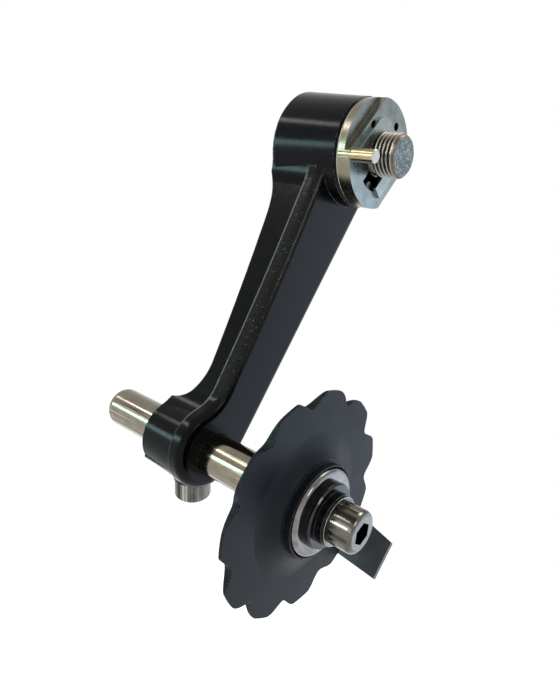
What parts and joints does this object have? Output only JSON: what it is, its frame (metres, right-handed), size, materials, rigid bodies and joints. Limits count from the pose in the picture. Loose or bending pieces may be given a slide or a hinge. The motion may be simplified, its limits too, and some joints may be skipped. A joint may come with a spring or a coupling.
{
  "type": "bicycle chain tensioner",
  "caption": "Sprung bicycle chain tensioner: a black forged arm hangs from a threaded pivot bolt and carries a toothed pulley on a sliding shaft, with a folded guard beside the teeth.",
  "frame": {"origin": "on the pivot axis, at the inboard face of the retaining clip, where the frame's hanger bears", "axes": "+Y outboard, away from the bicycle's wheel, along the pivot bolt; -Z down the arm to the pulley axis; +X makes the third axis"},
  "size_m": [0.0534, 0.0733, 0.1137],
  "materials": {
    "bolt_nickel": "nickel-plated thread with tarnished roots",
    "plate_zinc": "satin zinc",
    "pin_brass": "yellow-passivated",
    "clip_zinc": "satin zinc",
    "spring_steel": "oiled spring wire",
    "arm_black": "gloss black coating on forged alloy",
    "bush_plastic": "bearing plastic",
    "washer_steel": "plain plated steel",
    "shaft_nickel": "polished nickel plate",
    "screw_chrome": "polished chrome plate",
    "guard_dark": "satin dark grey coating",
    "wheel_black": "satin black anodised",
    "bearing_steel": "ground steel",
    "cage_plastic": "moulded",
    "cover_chrome": "polished",
    "spacer_chrome": "polished, slightly smoked"
  },
  "bodies": {
    "hanger_side": {"pivot_bolt": "bolt_nickel", "stop_plate": "plate_zinc", "stop_pin": "pin_brass", "retaining_clip": "clip_zinc", "torsion_spring": "spring_steel", "spring_sleeve": "bush_plastic", "bolt_head_washer": "washer_steel"},
    "arm": {"arm": "arm_black", "pivot_bush": "bush_plastic", "clamp_screw": "screw_chrome", "dust_washer": "bush_plastic"},
    "carriage": {"slide_shaft": "shaft_nickel", "pulley_bolt": "screw_chrome", "pulley_bolt_washer": "washer_steel", "pulley_spacer": "spacer_chrome", "inboard_cover_washer": "cover_chrome", "outboard_cover_washer": "cover_chrome", "bearing_inner_race": "bearing_steel"},
    "guard": {"guard_plate": "guard_dark"},
    "pulley": {"pulley_wheel": "wheel_black", "bearing_outer_race": "bearing_steel", "bearing_balls": "bearing_steel", "ball_cage": "cage_plastic", "bearing_shields": "bearing_steel"}
  },
  "joints": [
    {"name": "arm_pivot", "type": "hinge", "parent": "hanger_side", "child": "arm", "pos_m": [0, 0, 0], "axis": [0, 1, 0], "range_deg": [0, 60], "stiffness_Nm_per_rad": 0.6875, "springref_deg": -40.11, "deforming": ["torsion_spring"]},
    {"name": "shaft_slide", "type": "slide", "parent": "arm", "child": "carriage", "axis": [0, 1, 0], "range_m": [-0.018, 0.017]},
    {"name": "guard_swing", "type": "hinge", "parent": "carriage", "child": "guard", "pos_m": [0, -0.0111, -0.0774], "axis": [0, 1, 0], "continuous": true},
    {"name": "pulley_spin", "type": "hinge", "parent": "carriage", "child": "pulley", "pos_m": [0, -0.0171, -0.0774], "axis": [0, 1, 0], "continuous": true}
  ]
}
